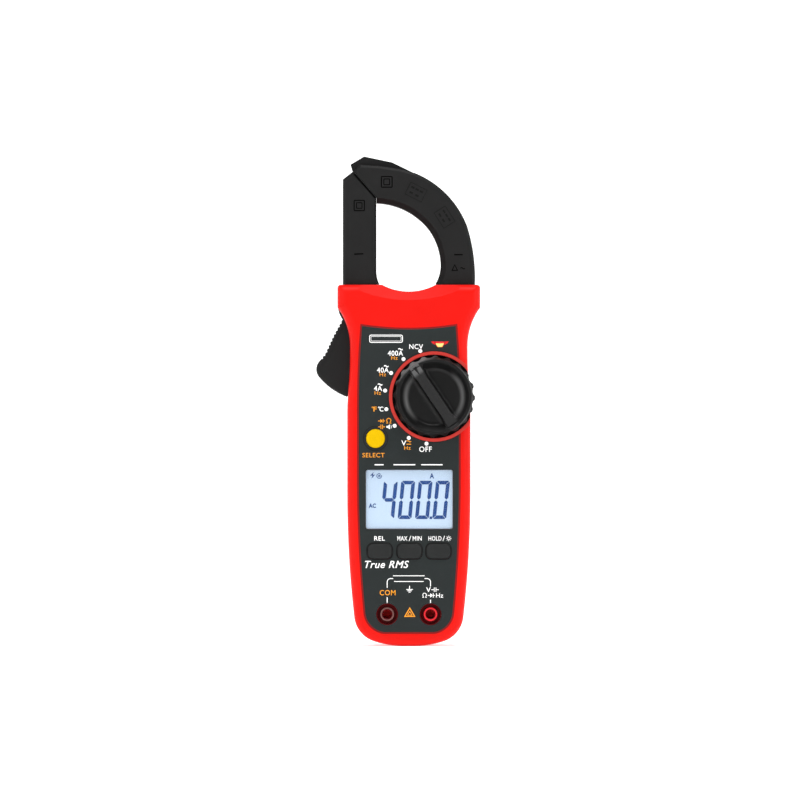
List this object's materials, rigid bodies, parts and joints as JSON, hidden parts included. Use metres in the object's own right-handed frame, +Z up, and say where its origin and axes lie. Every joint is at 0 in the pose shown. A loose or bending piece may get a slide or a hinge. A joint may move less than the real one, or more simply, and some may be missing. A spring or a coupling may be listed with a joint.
{
  "type": "clamp meter",
  "caption": "Pocket AC clamp meter: red case with dark face, display, lobed rotary dial, keys, test-lead jacks, fixed jaw and a trigger-opened moving jaw.",
  "frame": {"origin": "middle of the 28 mm conductor circle in the closed jaws, on the joint plane of the case halves", "axes": "+Z up the meter towards the jaws, -Y out of the face, +X to the right seen from the front"},
  "size_m": [0.0721, 0.036, 0.2154],
  "materials": {
    "red_shell": "satin moulded plastic, signal red",
    "dark_panel": "fine matte texture, charcoal",
    "dark_rear": "fine matte texture, charcoal",
    "jaw_black": "fine spark-eroded texture, black",
    "knob_grey": "matte charcoal with satin rim",
    "key_dark": "soft-touch charcoal",
    "key_yellow": "satin yellow",
    "clear_window": "clear acrylic",
    "lcd": "pale blue liquid crystal display",
    "white_plastic": "white diffuser plastic",
    "grey_elastomer": "striped conductive elastomer",
    "board_green": "solder mask green",
    "chip_black": "epoxy package",
    "steel": "zinc plated",
    "spring_steel": "bright spring wire",
    "brass": "bright brass",
    "copper": "enamelled copper winding",
    "core_steel": "laminated core",
    "maroon": "dark maroon moulding",
    "collar_grey": "greyish brown collar",
    "collar_red": "bright red collar",
    "lens_amber": "translucent amber",
    "cell_sleeve": "plain printed sleeve"
  },
  "bodies": {
    "case": {"backlight_plate": "white_plastic", "battery_1": "cell_sleeve", "battery_2": "cell_sleeve", "battery_cover": "dark_rear", "battery_cover_screw": "steel", "battery_plates": "steel", "battery_springs": "spring_steel", "board_screws": "steel", "buzzer": "chip_black", "case_screws": "steel", "com_jack_collar": "collar_grey", "com_jack_contact": "brass", "connector_strips": "grey_elastomer", "face_panel": "dark_panel", "fixed_jaw_coil": "copper", "fixed_jaw_core": "core_steel", "fixed_jaw_front": "jaw_black", "fixed_jaw_rear": "jaw_black", "front_shell": "red_shell", "jack_housing": "maroon", "jaw_screws": "steel", "lcd_glass": "lcd", "lcd_holder": "white_plastic", "lcd_window": "clear_window", "main_board": "board_green", "measuring_chip": "chip_black", "pivot_pin": "steel", "rear_shell": "red_shell", "return_spring": "spring_steel", "tact_switches": "steel", "volt_jack_collar": "collar_red", "volt_jack_contact": "brass", "warning_lens": "lens_amber"},
    "moving_jaw": {"moving_jaw_front": "jaw_black", "moving_jaw_rear": "jaw_black", "moving_jaw_core": "core_steel", "moving_jaw_coil": "copper", "trigger_screws": "steel", "pivot_bush": "brass"},
    "dial": {"dial_knob": "knob_grey", "dial_rotor": "white_plastic", "rotor_contacts": "brass", "dial_screw": "steel", "detent_balls": "spring_steel", "detent_springs": "spring_steel"},
    "select_key": {"select_button": "key_yellow"},
    "rel_key": {"rel_button": "key_dark"},
    "max_min_key": {"max_min_button": "key_dark"},
    "hold_key": {"hold_button": "key_dark"}
  },
  "joints": [
    {"name": "jaw_hinge", "type": "hinge", "parent": "case", "child": "moving_jaw", "pos_m": [-0.021, 0, -0.02], "axis": [0, -1, 0], "range_deg": [0, 26], "stiffness_Nm_per_rad": 0.35, "springref_deg": -14.32},
    {"name": "dial_turn", "type": "hinge", "parent": "case", "child": "dial", "pos_m": [0.0111, -0.0167, -0.0601], "axis": [0, -1, 0], "range_deg": [-22.5, 135]},
    {"name": "select_press", "type": "slide", "parent": "case", "child": "select_key", "axis": [0, 1, 0], "range_m": [0, 0.0007], "stiffness_N_per_m": 600, "springref_m": -0.0005},
    {"name": "rel_press", "type": "slide", "parent": "case", "child": "rel_key", "axis": [0, 1, 0], "range_m": [0, 0.0007], "stiffness_N_per_m": 600, "springref_m": -0.0005},
    {"name": "max_min_press", "type": "slide", "parent": "case", "child": "max_min_key", "axis": [0, 1, 0], "range_m": [0, 0.0007], "stiffness_N_per_m": 600, "springref_m": -0.0005},
    {"name": "hold_press", "type": "slide", "parent": "case", "child": "hold_key", "axis": [0, 1, 0], "range_m": [0, 0.0007], "stiffness_N_per_m": 600, "springref_m": -0.0005}
  ]
}
